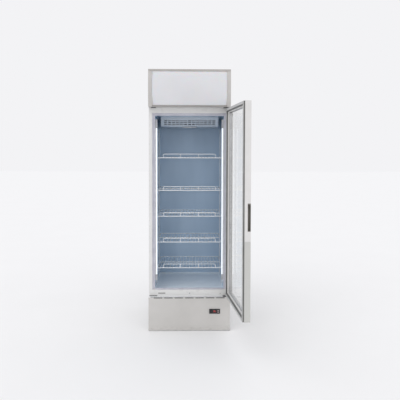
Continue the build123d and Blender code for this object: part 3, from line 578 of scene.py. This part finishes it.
breaker_low, breaker_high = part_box("breaker_frame")
lip = breaker_low.y
lip_back = breaker_high.y - 0.0002
breaker_outside = (breaker_low.x, breaker_high.x, breaker_low.z - 0.012, breaker_high.z + 0.001)
breaker_profile = [(0, lip + 0.0002), (0.0085, lip + 0.0002), (0.0095, lip + 0.0008),
                   (0.0100, lip + 0.0020), (0.0104, lip + 0.0044), (0.0112, lip + 0.0050),
                   (0.0195, lip + 0.0052), (0.0210, lip + 0.0058), (0.0219, lip + 0.0072),
                   (0.0220, lip_back), (0, lip_back)]
lilac = moulded("breaker_lilac", (0.47, 0.47, 0.53), (0.55, 0.55, 0.61), 0.35)
even_shading(as_piece("breaker_strip", picture_frame(breaker_outside, breaker_profile),
                      "cabinet", "breaker_plastic", lilac, "breaker_frame"))


# ---- Cabin lamps ----
# An aluminium channel with a row of small LEDs stands in each front corner of the cabin.  A
# milky cover snaps on it, and grey moulded holders carry it at both ends.

lamp_aluminium = drawn_metal("lamp_aluminium", (0.60, 0.60, 0.61), (0.74, 0.74, 0.75), 0.35, "Z")
holder_grey = moulded("holder_grey", (0.38, 0.39, 0.41), (0.46, 0.47, 0.49), 0.45)
lamp_light = glowing("lamp_cover_lit", (0.90, 0.96, 1.0), 0.46, 0.02, 0.93)
even_shading(as_piece("lamp_channels", softened("led_strips", 0.0006), "cabinet", "lamp_channel",
                      lamp_aluminium, "led_strips"))
even_shading(as_piece("lamp_holders", softened("led_holders", 0.0012), "cabinet", "grey_plastic",
                      holder_grey, "led_holders"))
lens_low, lens_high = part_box("led_lenses")
lens_wide = 0.009
covers = []
for side in (-1, 1):
    centre = (side * (lens_high.x - lens_wide / 2), (lens_low.y + lens_high.y) / 2,
              (lens_low.z + lens_high.z) / 2)
    cover = slab((lens_wide, lens_high.y - lens_low.y, lens_high.z - lens_low.z), centre)
    inner = [e for e in cover.edges
             if all((v.co.x - centre[0]) * side < 0 for v in e.verts)
             and abs(e.verts[0].co.z - e.verts[1].co.z) > 0.1]
    bmesh.ops.bevel(cover, geom=inner, offset=0.0055, affect="EDGES", segments=6, profile=0.5,
                    material=-1)
    covers.append(cover)
as_piece("lamp_covers", joined(covers), "cabinet", "lamp_lens", lamp_light, "led_lenses")


# ---- Cooling unit under the ceiling ----
# A moulded tray hides the finned coil and its fan.  Air comes up through a round guard of
# welded wire and leaves through three rows of slots in the tray's sloping front.

# The tray is white; its blue-grey colour is painted shade of the cabin.
unit_painted_shade = moulded("unit_painted_shade", (0.50, 0.56, 0.63), (0.56, 0.62, 0.69), 0.4)
even_shading(as_piece("cooling_unit_tray", softened("evaporator_cover", 0.0008, 2), "cabinet",
                      "liner_plastic", unit_painted_shade, "evaporator_cover"))


def coated_wire_finish(name, dark, light):
    """Nylon-dipped steel wire: a thick glossy skin with slow waves and small runs."""
    material, tree, shader, place = new_finish(name, 0.26, coat_weight=0.3, coat_roughness=0.1)
    tint(tree, shader, clouds(tree, place, 0.02), dark, light)
    relief(tree, shader, clouds(tree, place, 0.004, 2), 0.0003, 0.35)
    return material


def wires(runs, radius, bend=0.0):
    """Round wires along straight runs of points, with each corner bent to a smooth arc."""
    curve = bpy.data.curves.new("wire", "CURVE")
    curve.dimensions = "3D"
    curve.bevel_depth = radius
    curve.bevel_resolution = 2
    curve.resolution_u = 5
    curve.use_fill_caps = True
    for run in runs:
        points = [Vector(p) for p in run]
        knots = [(points[0], points[0], points[0])]
        for before, corner, after in zip(points, points[1:], points[2:]):
            arrive = corner + (before - corner).normalized() * bend
            leave = corner + (after - corner).normalized() * bend
            knots.append((arrive, arrive, arrive.lerp(corner, 0.55)))
            knots.append((leave, leave.lerp(corner, 0.55), leave))
        knots.append((points[-1], points[-1], points[-1]))
        spline = curve.splines.new("BEZIER")
        spline.bezier_points.add(len(knots) - 1)
        for knot, (place, left, right) in zip(spline.bezier_points, knots):
            knot.co = place
            knot.handle_left_type = knot.handle_right_type = "FREE"
            knot.handle_left = left
            knot.handle_right = right
    holder = bpy.data.objects.new("wire", curve)
    mesh = bpy.data.meshes.new_from_object(holder)
    shape = bmesh.new()
    shape.from_mesh(mesh)
    bpy.data.meshes.remove(mesh)
    bpy.data.objects.remove(holder)
    bpy.data.curves.remove(curve)
    bmesh.ops.remove_doubles(shape, verts=shape.verts, dist=1e-6)
    return shape


def hoop(radius, wire_radius, centre):
    """A ring of round wire, lying flat."""
    ring = bmesh.new()
    section = bmesh.ops.create_circle(ring, segments=8, radius=wire_radius)
    bmesh.ops.rotate(ring, cent=(0, 0, 0), matrix=Matrix.Rotation(pi / 2, 3, "X"), verts=ring.verts)
    bmesh.ops.translate(ring, vec=(radius, 0, 0), verts=section["verts"])
    bmesh.ops.spin(ring, geom=ring.verts[:] + ring.edges[:], cent=(0, 0, 0), axis=(0, 0, 1),
                   angle=2 * pi, steps=48, use_merge=True)
    bmesh.ops.remove_doubles(ring, verts=ring.verts, dist=1e-6)
    bmesh.ops.recalc_face_normals(ring, faces=ring.faces)
    bmesh.ops.translate(ring, vec=centre, verts=ring.verts)
    return ring


wire_white = coated_wire_finish("wire_white", (0.76, 0.77, 0.78), (0.84, 0.85, 0.86))
guard_low, guard_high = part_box("fan_guard")
hub = (guard_low + guard_high) / 2
spoke_z = guard_high.z - 0.0015
guard = [hoop(0.018 + 0.012 * ring, 0.0011, (hub.x, hub.y, spoke_z - 0.0022)) for ring in range(5)]
spokes = []
for spoke in range(6):
    turn = radians(60 * spoke + 15)
    spokes.append([(hub.x + reach * cos(turn), hub.y + reach * sin(turn), spoke_z)
                   for reach in (0.004, 0.067)])
guard.append(wires(spokes, 0.0014))
guard.append(turned([(0, -0.0022), (0.008, -0.0022), (0.009, -0.0012), (0.009, 0.0008), (0, 0.0008)],
                    (hub.x, hub.y, spoke_z)))
as_piece("fan_wire_guard", joined(guard), "cabinet", "shelf_coating", wire_white, "fan_guard")


# ---- Shelving ----
# Slotted steel strips are screwed to the liner.  Plated clips hook in their slots, and each
# welded wire shelf lies on four clips, with a raised rail that keeps the drinks from sliding.

standard_paint = stoved_paint("standard_grey", (0.60, 0.63, 0.67), (0.66, 0.69, 0.73), 0.30)
even_shading(as_piece("slotted_standards", softened("shelf_standards", 0.0003, 1), "cabinet",
                      "galvanised_steel", standard_paint, "shelf_standards"))
even_shading(as_piece("shelf_hooks", softened("shelf_clips", 0.0004, 2), "cabinet",
                      "bright_steel", nickel, "shelf_clips"))

thick_wire = 0.0032
thin_wire = 0.0016
rail_wire = 0.0022
for number in range(1, 6):
    low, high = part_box(f"shelf_{number}")
    left, right = low.x + thick_wire, high.x - thick_wire
    front, rear = low.y + thick_wire, high.y - thick_wire
    rail_z = high.z - rail_wire
    deck = rail_z - 0.026
    heavy_z = deck - thick_wire
    centre_y = (front + rear) / 2
    outline = [(0, rear, heavy_z), (left, rear, heavy_z), (left, front, heavy_z),
               (right, front, heavy_z), (right, rear, heavy_z), (0, rear, heavy_z)]
    brace = [(left, centre_y, heavy_z - 0.001), (right, centre_y, heavy_z - 0.001)]
    deck_wires = []
    for step in range(-9, 10):
        x = 0.025 * step
        deck_wires.append([(x, front, heavy_z), (x, front - 0.0005, deck - thin_wire),
                           (x, rear + 0.0010, deck - thin_wire)])
    rail_x = 0.203
    rail = [(-rail_x, front, heavy_z), (-rail_x, front, rail_z), (rail_x, front, rail_z),
            (rail_x, front, heavy_z)]
    posts = [[(x, front, heavy_z), (x, front, rail_z)] for x in (-0.070, 0.070)]
    parts = [wires([outline], thick_wire, 0.012), wires([brace], thick_wire),
             wires(deck_wires, thin_wire, 0.0012), wires([rail], rail_wire, 0.010),
             wires(posts, rail_wire)]
    as_piece(f"wire_shelf_{number}", joined(parts), "cabinet", "shelf_coating", wire_white,
             f"shelf_{number}", sharp=60)


# ---- Sensor, plate and screw on the sill ----
# A small plug with the door sensor in it sits in the middle of the sill, with a blank foil plate to
# its left and a dull metal screw to its right.

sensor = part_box("door_switch")
sensor_centre = (sensor[0] + sensor[1]) / 2
deep = sensor[1].y - sensor[0].y
cap = turned([(0, 0), (0.0045, 0), (0.0045, deep - 0.0004), (0.0041, deep), (0.0022, deep),
              (0.0018, deep - 0.0004), (0, deep - 0.0004)], (0, 0, 0))
bmesh.ops.rotate(cap, cent=(0, 0, 0), matrix=Matrix.Rotation(pi / 2, 3, "X"), verts=cap.verts)
bmesh.ops.translate(cap, vec=(sensor_centre.x, sensor[1].y, sensor_centre.z), verts=cap.verts)
as_piece("door_sensor_cap", cap, "cabinet", "grey_plastic", holder_grey, "door_switch")

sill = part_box("face_frame")[0].y
plate_size = (0.055, 0.0005, 0.008)
plate_centre = (-0.2115, sill + 0.0001, 0.279)
plate = slab(plate_size, plate_centre, 0.0015, "Y", 4)
foil = drawn_metal("plate_foil", (0.27, 0.26, 0.25), (0.36, 0.35, 0.34), 0.34, "X")
as_piece("blank_rating_foil", plate, "cabinet", "cabinet_paint", foil)
screw_place = (0.238, sill + 0.0012, 0.276)
as_piece("sill_screw", screw(screw_place, 0.0042, 0.0014, "-Y"), "cabinet",
         "cabinet_paint", foil)


# ---- Hinge brackets and plugs ----
# Pressed brackets carry the door's pins on the right.  Their twin seats on the left are closed
# with plastic plugs, because the same cabinet can also be hung left-handed.  The plugs' dark grey
# is partly their own colour and partly painted shade of the seats.

bracket_grey = stoved_paint("bracket_grey", (0.085, 0.085, 0.087), (0.125, 0.125, 0.128), 0.36)
for end in ("bottom", "top"):
    even_shading(as_piece(f"hinge_plate_{end}", softened(f"hinge_bracket_{end}", 0.0007),
                          "cabinet", "galvanised_steel", bracket_grey, f"hinge_bracket_{end}"))
# The plugs' dark grey is partly their own colour and partly painted shade of the seats.
plug_grey_and_seat_shade = moulded("plug_grey_and_seat_shade", (0.095, 0.095, 0.10), (0.14, 0.14, 0.145), 0.5)
even_shading(as_piece("bracket_plugs", softened("hinge_plugs", 0.0008), "cabinet",
                      "grey_plastic", plug_grey_and_seat_shade, "hinge_plugs"))


# ---- Door frame ----
# Four extruded white members are mitred and welded round the sealed glass unit.  Their outer
# corners are rounded, and the handle side has a moulded pull and a joint line in its edge, with
# painted shade making it greyer below the line.

door_joint = next(joint for joint in frame["joints"] if joint["name"] == "door_hinge")
door_pivot = Vector(door_joint["pos_m"])
opened = -radians(door_joint["range_deg"][0])
opening_turn = Matrix.Rotation(opened, 3, "Z")


def closed_box(node):
    """Lowest and highest corner that a door node has while the door is closed."""
    back_turn = opening_turn.transposed()
    points = [back_turn @ (v.co - door_pivot) + door_pivot
              for v in frame["nodes"][node].data.vertices]
    return (Vector(map(min, *points)), Vector(map(max, *points)))


def swung(shape):
    """Turns a shape that was drawn on the closed door to the place that it has at rest."""
    bmesh.ops.rotate(shape, cent=door_pivot, matrix=opening_turn, verts=shape.verts)
    return shape


door_white = moulded("door_white", (0.70, 0.69, 0.675), (0.75, 0.74, 0.725), 0.30, 0.0009,
                     0.00003, coat_weight=0.15, coat_roughness=0.2)
edge_white_shaded_below_joint = moulded("edge_white_shaded_below_joint", (0.665, 0.655, 0.642), (0.705, 0.695, 0.682), 0.30, 0.0009,
                     0.00003, coat_weight=0.15, coat_roughness=0.2)
joint_line = 0.7885
# Painted shade makes the handle stile greyer below its joint line.
paint_light_or_shade_by_height(edge_white_shaded_below_joint, (0.50, 0.50, 0.475), joint_line + 0.0025, joint_line - 0.0025)
for node, name, finish in (("door_stile_hinge", "hinge_stile", door_white),
                           ("door_stile_handle", "handle_stile", edge_white_shaded_below_joint),
                           ("door_rails", "top_and_bottom_rails", door_white)):
    even_shading(as_piece(name, softened(node, 0.0014, 4), "door", "door_frame_plastic",
                          finish, node))
dress(moulded("bush_nylon", (0.62, 0.60, 0.54), (0.70, 0.68, 0.62), 0.4), "hinge_bushes")


# ---- Sealed glass unit ----
# Two toughened panes are bonded to an aluminium spacer bar, with black sealant round it.
# The glass is clear with a faint green tone and a few soft smears.

def window_glass(name):
    """Clear float glass: faintly green, with soft smears that dull its polish."""
    material, tree, shader, place = new_finish(name, 0.02)
    shader.inputs["Transmission Weight"].default_value = 1.0
    shader.inputs["IOR"].default_value = 1.05
    tint(tree, shader, clouds(tree, place, 0.2), (0.988, 0.992, 0.990), (0.997, 0.999, 0.998))
    smears = clouds(tree, place, 0.06, 4, (1, 1, 0.5))
    tree.links.new(remap(tree, smears, 0.0, 0.015), shader.inputs["Roughness"])
    return material


even_shading(as_piece("glass_panes", softened("door_glass", 0.0005, 2), "door", "door_glazing",
                      window_glass("window_glass"), "door_glass"))

bar_low, bar_high = closed_box("glass_spacer")
bar_outside = (bar_low.x, bar_high.x, bar_low.z, bar_high.z)
bar_profile = [(0, bar_low.y), (0.0085, bar_low.y), (0.0090, bar_low.y + 0.0006),
               (0.0090, bar_low.y + 0.0040), (0.0084, bar_low.y + 0.0046),
               (0.0084, bar_high.y - 0.0046), (0.0090, bar_high.y - 0.0040),
               (0.0090, bar_high.y - 0.0006), (0.0085, bar_high.y), (0, bar_high.y)]
even_shading(as_piece("spacer_frame", swung(picture_frame(bar_outside, bar_profile)), "door",
                      "spacer_bar", lamp_aluminium, "glass_spacer"))


# ---- Door gasket ----
# A soft grey magnetic gasket is pressed in a groove on the door's inner side.  It has a wide
# foot, a ribbed bellows that squeezes shut, and a rounded bulb with the magnet in it.

def soft_vinyl(name, dark, light):
    """Plasticised vinyl: matt, a little dusty, with faint lines from the extruder."""
    material, tree, shader, place = new_finish(name, 0.58)
    shader.inputs["Sheen Weight"].default_value = 0.15
    tint(tree, shader, clouds(tree, place, 0.04, 4), dark, light)
    relief(tree, shader, clouds(tree, place, 0.001, 2), 0.0001, 0.4)
    return material


seal_low, seal_high = closed_box("door_gasket")
foot_y, tip_y = seal_low.y, seal_high.y
seal_outside = (seal_low.x, seal_high.x, seal_low.z, seal_high.z)
bellows_outside = (seal_low.x, door_pivot.x - 0.0002, seal_low.z, seal_high.z)
foot_profile = [(0, foot_y), (0, foot_y + 0.0030), (0.0010, foot_y + 0.0038),
                (0.0180, foot_y + 0.0038), (0.0215, foot_y + 0.0030), (0.0240, foot_y + 0.0018),
                (0.0258, foot_y + 0.0014), (0.0260, foot_y + 0.0006), (0.0260, foot_y)]
bellows_profile = [(0.0010, foot_y + 0.0036), (0.0022, foot_y + 0.0046),
                   (0.0004, foot_y + 0.0056), (0.0020, foot_y + 0.0066),
                   (0.0002, foot_y + 0.0077), (0.0003, tip_y - 0.0014),
                   (0.0186, tip_y - 0.0014), (0.0187, foot_y + 0.0077),
                   (0.0168, foot_y + 0.0066), (0.0186, foot_y + 0.0056),
                   (0.0166, foot_y + 0.0046), (0.0178, foot_y + 0.0036)]
strip_profile = [(0.0003, tip_y - 0.0016), (0.0003, tip_y - 0.0008), (0.0012, tip_y - 0.0001),
                 (0.0040, tip_y), (0.0150, tip_y), (0.0176, tip_y - 0.0001),
                 (0.0186, tip_y - 0.0008), (0.0186, tip_y - 0.0016)]
# The gasket is one grey vinyl; the bellows' darker copy is painted shade in their folds.
fold_shade_vinyl = soft_vinyl("bellows_painted_shade_vinyl", (0.175, 0.175, 0.168), (0.225, 0.225, 0.218))
pale_vinyl = soft_vinyl("strip_vinyl", (0.44, 0.44, 0.435), (0.52, 0.52, 0.515))
bellows = [picture_frame(seal_outside, foot_profile),
           picture_frame(bellows_outside, bellows_profile)]
as_piece("gasket_bellows", swung(joined(bellows)), "door", "gasket_rubber", fold_shade_vinyl,
         "door_gasket", sharp=50)
as_piece("gasket_magnet_strip", swung(picture_frame(bellows_outside, strip_profile)), "door",
         "gasket_rubber", pale_vinyl, sharp=50)


# ---- Recessed pull ----
# A moulded cup clipped in the edge of the door, deep enough for four fingers.  Its upper
# end slants, and its rim has a small radius all round.  Its dark taupe is partly the plastic's
# own tone and partly painted shade of the recess.

# The cup's dark taupe is partly its own tone and partly painted shade of the recess.
recess_shaded_pull = moulded("pull_taupe_recess_shade", (0.195, 0.182, 0.160), (0.245, 0.230, 0.207), 0.42)
even_shading(as_piece("pull_cup", softened("handle_insert", 0.0008), "door", "handle_plastic",
                      recess_shaded_pull, "handle_insert"))


# ---- Sign canopy ----
# A steel light box stands on the roof.  Moulded end caps with a curved lip hold a bowed opal
# sheet between two extruded bars, and two rows of lamps inside light it from behind.

dress(stoved_paint("box_white", (0.64, 0.64, 0.635), (0.70, 0.70, 0.695), 0.4), "canopy_housing")
dress(lamp_aluminium, "canopy_led_bars")

canopy_taupe = moulded("canopy_taupe", (0.475, 0.460, 0.443), (0.520, 0.505, 0.487), 0.36)
bar_taupe = moulded("bar_taupe", (0.392, 0.374, 0.354), (0.442, 0.423, 0.403), 0.36)
# The bottom bar is the same plastic as the top one; its darker copy is painted shade under the box.
low_bar_painted_shade_taupe = moulded("low_bar_painted_shade_taupe", (0.275, 0.262, 0.250), (0.315, 0.302, 0.290), 0.36)
bars_middle = middle("canopy_trims").z
for side, name, finish, nodes in ((1, "top", bar_taupe, ("canopy_trims",)),
                                  (-1, "bottom", low_bar_painted_shade_taupe, ())):
    trim = softened("canopy_trims", 0.0022, 4)
    others = [v for v in trim.verts if (v.co.z - bars_middle) * side < 0]
    bmesh.ops.delete(trim, geom=others, context="VERTS")
    even_shading(as_piece(f"canopy_bar_{name}", trim, "cabinet", "sign_frame", finish, *nodes))

cap_low, cap_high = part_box("canopy_end_right")
sheet_low, sheet_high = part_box("canopy_diffuser")
sign_mid = (cap_low.z + cap_high.z) / 2
sign_half = (cap_high.z - cap_low.z) / 2
lip_mid = (sheet_low.z + sheet_high.z) / 2
lip_half = (sheet_high.z - sheet_low.z) / 2
bow = 0.010
cap_front = cap_low.y + bow
lip_outer = cap_low.x + 0.0015
for side, name in ((-1, "left"), (1, "right")):
    even_shading(as_piece(f"canopy_cap_{name}", softened(f"canopy_end_{name}", 0.0018, 4),
                          "cabinet", "sign_frame", canopy_taupe, f"canopy_end_{name}"))
    lip_strip = bmesh.new()
    bmesh.ops.create_grid(lip_strip, x_segments=2, y_segments=32, size=0.5)
    for v in lip_strip.verts:
        up = 2 * v.co.y
        across = v.co.x + 0.5
        inner = 0.2835 - (0.0045 if up > 0 else 0.0105) * up * up
        x = inner + (lip_outer - inner) * across
        z = lip_mid + up * lip_half
        y = cap_front - bow * (1 - ((z - sign_mid) / sign_half) ** 2) + 0.0004
        v.co = (side * x, y, z)
    bmesh.ops.recalc_face_normals(lip_strip, faces=lip_strip.faces)
    if sum(f.normal.y for f in lip_strip.faces) > 0:
        bmesh.ops.reverse_faces(lip_strip, faces=lip_strip.faces)
    bmesh.ops.solidify(lip_strip, geom=lip_strip.faces[:], thickness=0.0020)
    as_piece(f"canopy_lip_{name}", lip_strip, "cabinet", "sign_frame", canopy_taupe)


def opal_acrylic(name, dark, light):
    """Milky acrylic sheet: a polished face over a body that scatters light evenly."""
    material, tree, shader, place = new_finish(name, 0.22, coat_weight=0.35, coat_roughness=0.06)
    shader.inputs["Subsurface Weight"].default_value = 0.2
    shader.inputs["Subsurface Scale"].default_value = 0.004
    tint(tree, shader, clouds(tree, place, 0.25, 2), dark, light)
    relief(tree, shader, clouds(tree, place, 0.02, 1), 0.0002, 0.2)
    return material


sheet_thick = 0.003
sheet_front = sheet_low.y + bow
opal = bmesh.new()
bmesh.ops.create_grid(opal, x_segments=2, y_segments=40, size=0.5)
for v in opal.verts:
    across, up = 2 * v.co.x, 2 * v.co.y
    v.co = (sheet_high.x * across, sheet_front - bow * (1 - up * up),
            (sheet_low.z + sheet_high.z) / 2 + up * (sheet_high.z - sheet_low.z) / 2)
bmesh.ops.recalc_face_normals(opal, faces=opal.faces)
if sum(f.normal.y for f in opal.faces) > 0:
    bmesh.ops.reverse_faces(opal, faces=opal.faces)
bmesh.ops.solidify(opal, geom=opal.faces[:], thickness=sheet_thick)
as_piece("opal_sign_sheet", opal, "cabinet", "sign_panel",
         opal_acrylic("opal_acrylic", (0.650, 0.652, 0.674), (0.688, 0.690, 0.712)),
         "canopy_diffuser")


# ---- Studio ----
# A wide pale floor, an even sky and two broad soft lamps, as for a catalogue picture.  The
# camera stands at a customer's eye height, a little left of the cooler's middle.

floor_shape = bmesh.new()
bmesh.ops.create_grid(floor_shape, x_segments=1, y_segments=1, size=30)
floor_mesh = bpy.data.meshes.new("studio_floor")
floor_shape.to_mesh(floor_mesh)
floor_shape.free()
floor = bpy.data.objects.new("studio_floor", floor_mesh)
bpy.context.scene.collection.objects.link(floor)
floor_paper, tree, shader, place = new_finish("floor_paper", 0.95)
tint(tree, shader, clouds(tree, place, 0.5), (0.842, 0.842, 0.845), (0.850, 0.850, 0.853))
shader.inputs["Specular IOR Level"].default_value = 0.0
floor_mesh.materials.append(floor_paper)

world = bpy.data.worlds.new("studio_sky")
bpy.context.scene.world = world
world.use_nodes = True
sky = world.node_tree.nodes["Background"]
sky.inputs["Color"].default_value = (0.896, 0.896, 0.914, 1)
sky.inputs["Strength"].default_value = 1.0


def soft_sun(name, place, power, spread, colour=(1, 1, 1)):
    """A broad far-off light that shines from a place towards the middle of the cooler."""
    light = bpy.data.lights.new(name, "SUN")
    light.energy = power
    light.angle = radians(spread)
    light.color = colour
    sun = bpy.data.objects.new(name, light)
    sun.location = place
    sun.rotation_euler = (Vector((0, 0, 1)) - Vector(place)).to_track_quat("-Z", "Y").to_euler()
    bpy.context.scene.collection.objects.link(sun)


soft_sun("key_light", (-2.0, -3.0, 5.0), 0.60, 60)
soft_sun("fill_light", (3.0, -3.0, 3.5), 0.30, 70)

camera = bpy.data.objects.new("camera", bpy.data.cameras.new("camera"))
camera.location = (0.0081, -4.0075, 1.3659)
camera.rotation_euler = (radians(90 - 1.91), radians(-0.13), radians(-1.10))
camera.data.lens = 44.1
camera.data.sensor_width = 36
camera.data.shift_y = -0.0796
bpy.context.scene.collection.objects.link(camera)
bpy.context.scene.camera = camera
bpy.context.scene.view_settings.view_transform = "Standard"
